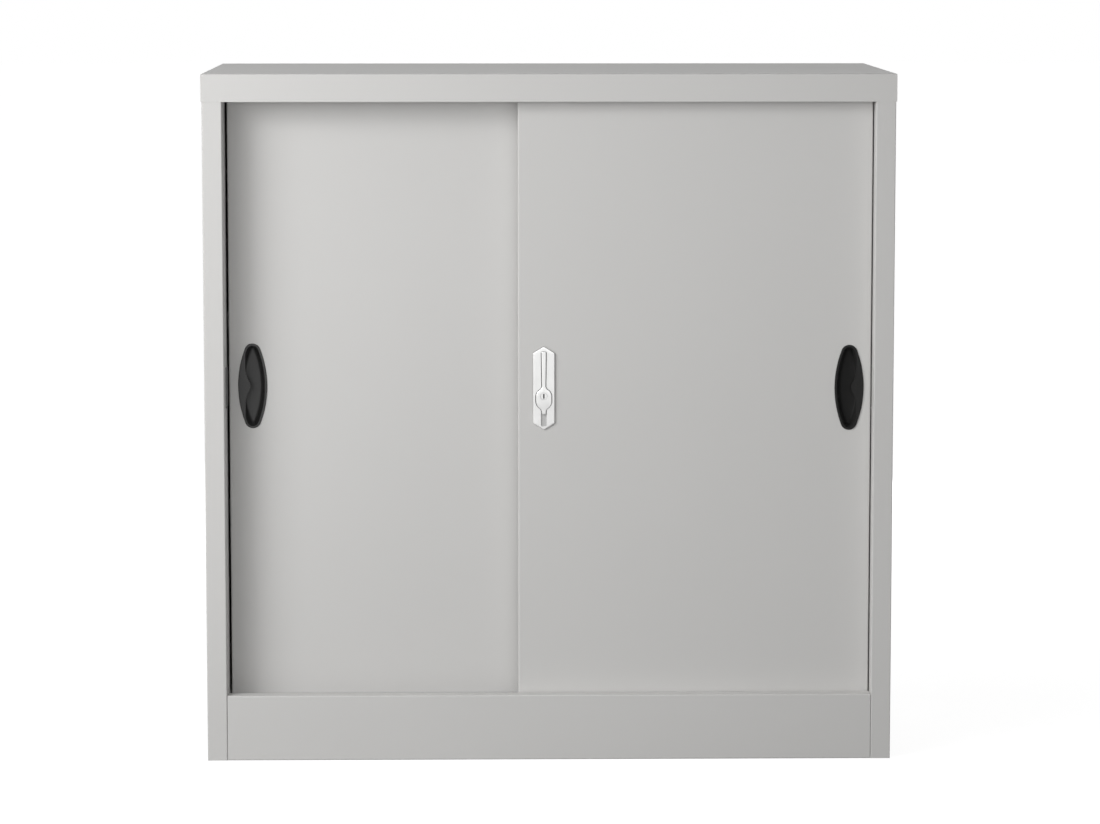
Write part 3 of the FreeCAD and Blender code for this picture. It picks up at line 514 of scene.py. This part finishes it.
def make_lock_lever():
    """The lever, bored for the key plug, with its shank and the tang that carries the cam."""
    shape = bmesh.new()
    front, back = slab(shape, lever_outline(0, tail_length), lever_face, lever_back, lever_edge)
    bore_radius = plug_radius + turning_gap
    bore = circle(shape, bore_radius + bore_edge, lever_face)
    between(shape, front, bore)
    bore = pushed(shape, bore, bore_edge, bore_radius / (bore_radius + bore_edge))
    bore = pushed(shape, bore, plug_back - lever_face - bore_edge)
    bmesh.ops.contextual_create(shape, geom=bore)
    shank = circle(shape, shank_radius, lever_back)
    between(shape, back, shank)
    shank = pushed(shape, shank, cam_face - lever_back)
    bmesh.ops.contextual_create(shape, geom=shank)
    place = Matrix.Translation((lock_x, (cam_face + cam_back) / 2, lock_z))
    place = place @ Matrix.Diagonal((tang_width, cam_back - cam_face, tang_width, 1))
    bmesh.ops.create_cube(shape, size=1.0, matrix=place)
    bmesh.ops.recalc_face_normals(shape, faces=shape.faces)
    finished(shape, "lock_lever", satin_chrome("satin_chrome_lever", lever_back, lever_low[2]))


def make_lock_plug():
    """The key plug with an upright key slot."""
    shape = bmesh.new()
    face = circle(shape, plug_radius - bore_edge, lever_face)
    slot = both_sides([(key_slot_width / 2, key_slot_height / 2, key_slot_round),
                       (key_slot_width / 2, -key_slot_height / 2, key_slot_round)])
    key = rim(shape, rounded_face(shape, slot, lever_face))
    between(shape, face, key)
    bmesh.ops.contextual_create(shape, geom=pushed(shape, key, key_slot_depth))
    side = pushed(shape, face, bore_edge, plug_radius / (plug_radius - bore_edge))
    bmesh.ops.contextual_create(shape, geom=pushed(shape, side, plug_back - lever_face - bore_edge))
    bmesh.ops.recalc_face_normals(shape, faces=shape.faces)
    # The key slot lies deeper than the hollow depths, so it is painted dark as shade.
    finished(shape, "lock_plug", satin_chrome("satin_chrome_plug", lever_face, lever_low[2]))


make_lock_plate()
make_lock_lever()
make_lock_plug()


# Studio

floor_half_width = 30.0
floor_tone = 0.3
near_glow, far_glow = 0.86, 0.945
near_reach, far_reach = 0.5, 3.0
room_light = 0.20

focal_length = 130.56
sensor_width = 36.0
camera_place = (-0.092, -5.3864, 1.0687)
camera_pitch = -6.717
camera_turn = -1.03

front_target = (-0.1, -0.2, 0.5)
rear_target = (0.0, 0.2, 0.5)
side_target = (0.4, 0.0, 0.5)


def grey(level):
    """A neutral colour."""
    return (level, level, level, 1)


def softbox(name, place, target, size, power):
    """A rectangular area light turned to a target."""
    lamp = bpy.data.lights.new(name, "AREA")
    lamp.shape = "RECTANGLE"
    lamp.size, lamp.size_y = size
    lamp.energy = power
    thing = bpy.data.objects.new(name, lamp)
    thing.location = place
    thing.rotation_euler = (Vector(target) - thing.location).to_track_quat("-Z", "Y").to_euler()
    bpy.context.scene.collection.objects.link(thing)


def seen_white(finish):
    """1 for rays from the camera, from gloss and through glass, 0 for the rest."""
    seen = [finish.node("ShaderNodeLightPath", output=name)
            for name in ("Is Camera Ray", "Is Glossy Ray", "Is Transmission Ray")]
    return seen[0].worked("MAXIMUM", seen[0].worked("MAXIMUM", seen[0], seen[1]), seen[2])


def make_floor():
    """A pale floor that shows white, and keeps the shadow close to the cabinet."""
    shape = bmesh.new()
    bmesh.ops.create_grid(shape, x_segments=1, y_segments=1, size=floor_half_width)
    mesh = bpy.data.meshes.new("studio_floor")
    shape.to_mesh(mesh)
    shape.free()
    floor = bpy.data.objects.new("studio_floor", mesh)
    bpy.context.scene.collection.objects.link(floor)
    finish = new_finish("studio_floor")
    matt = finish.node("ShaderNodeBsdfDiffuse", {}, {"Color": grey(floor_tone)})
    length = {"operation": "LENGTH"}
    reach = finish.node("ShaderNodeVectorMath", length, {0: finish.place()}, output="Value")
    distance = finish.ramp(reach, near_reach, far_reach)
    shade = finish.blend(distance, first=grey(near_glow), second=grey(far_glow))
    glow = finish.node("ShaderNodeEmission", {}, {"Color": shade, "Strength": seen_white(finish)})
    both = finish.node("ShaderNodeAddShader", {}, {0: matt, 1: glow})
    finish.node("ShaderNodeOutputMaterial", {}, {"Surface": both})
    mesh.materials.append(finish.owner)


def make_world():
    """An even pale room, seen as white."""
    world = bpy.data.worlds.new("studio")
    bpy.context.scene.world = world
    room = Finish(world)
    light = room.node("ShaderNodeBackground", {}, {"Color": grey(1), "Strength": room_light})
    white = room.node("ShaderNodeBackground", {}, {"Color": grey(1), "Strength": 1.0})
    mixed = room.node("ShaderNodeMixShader", {}, {0: seen_white(room), 1: light, 2: white})
    room.node("ShaderNodeOutputWorld", {}, {"Surface": mixed})


def make_camera():
    """The photograph's viewpoint: in front, a little left of the middle and above the top."""
    lens = bpy.data.cameras.new("camera")
    lens.sensor_width = sensor_width
    lens.lens = focal_length
    camera = bpy.data.objects.new("camera", lens)
    camera.location = camera_place
    camera.rotation_euler = Euler((math.radians(90 + camera_pitch), 0, math.radians(camera_turn)))
    bpy.context.scene.collection.objects.link(camera)
    bpy.context.scene.camera = camera


make_floor()
make_world()
make_camera()
softbox("left_softbox", (-1.9, -1.7, 1.33), front_target, size=(1.2, 1.2), power=27.5)
softbox("upper_softbox", (-1.5, -1.9, 1.6), front_target, size=(1.2, 1.0), power=12.6)
softbox("front_softbox", (-0.9, -2.2, 0.85), front_target, size=(1.2, 0.6), power=7.9)
softbox("right_softbox", (0.6, -2.2, 0.8), front_target, size=(1.4, 0.8), power=5.8)
softbox("rear_softbox", (0.5, 2.6, 0.5), rear_target, size=(1.8, 0.7), power=40.0)
softbox("side_softbox", (2.7, 0.4, 0.5), side_target, size=(1.2, 0.7), power=12.0)
bpy.context.scene.view_settings.view_transform = "Standard"
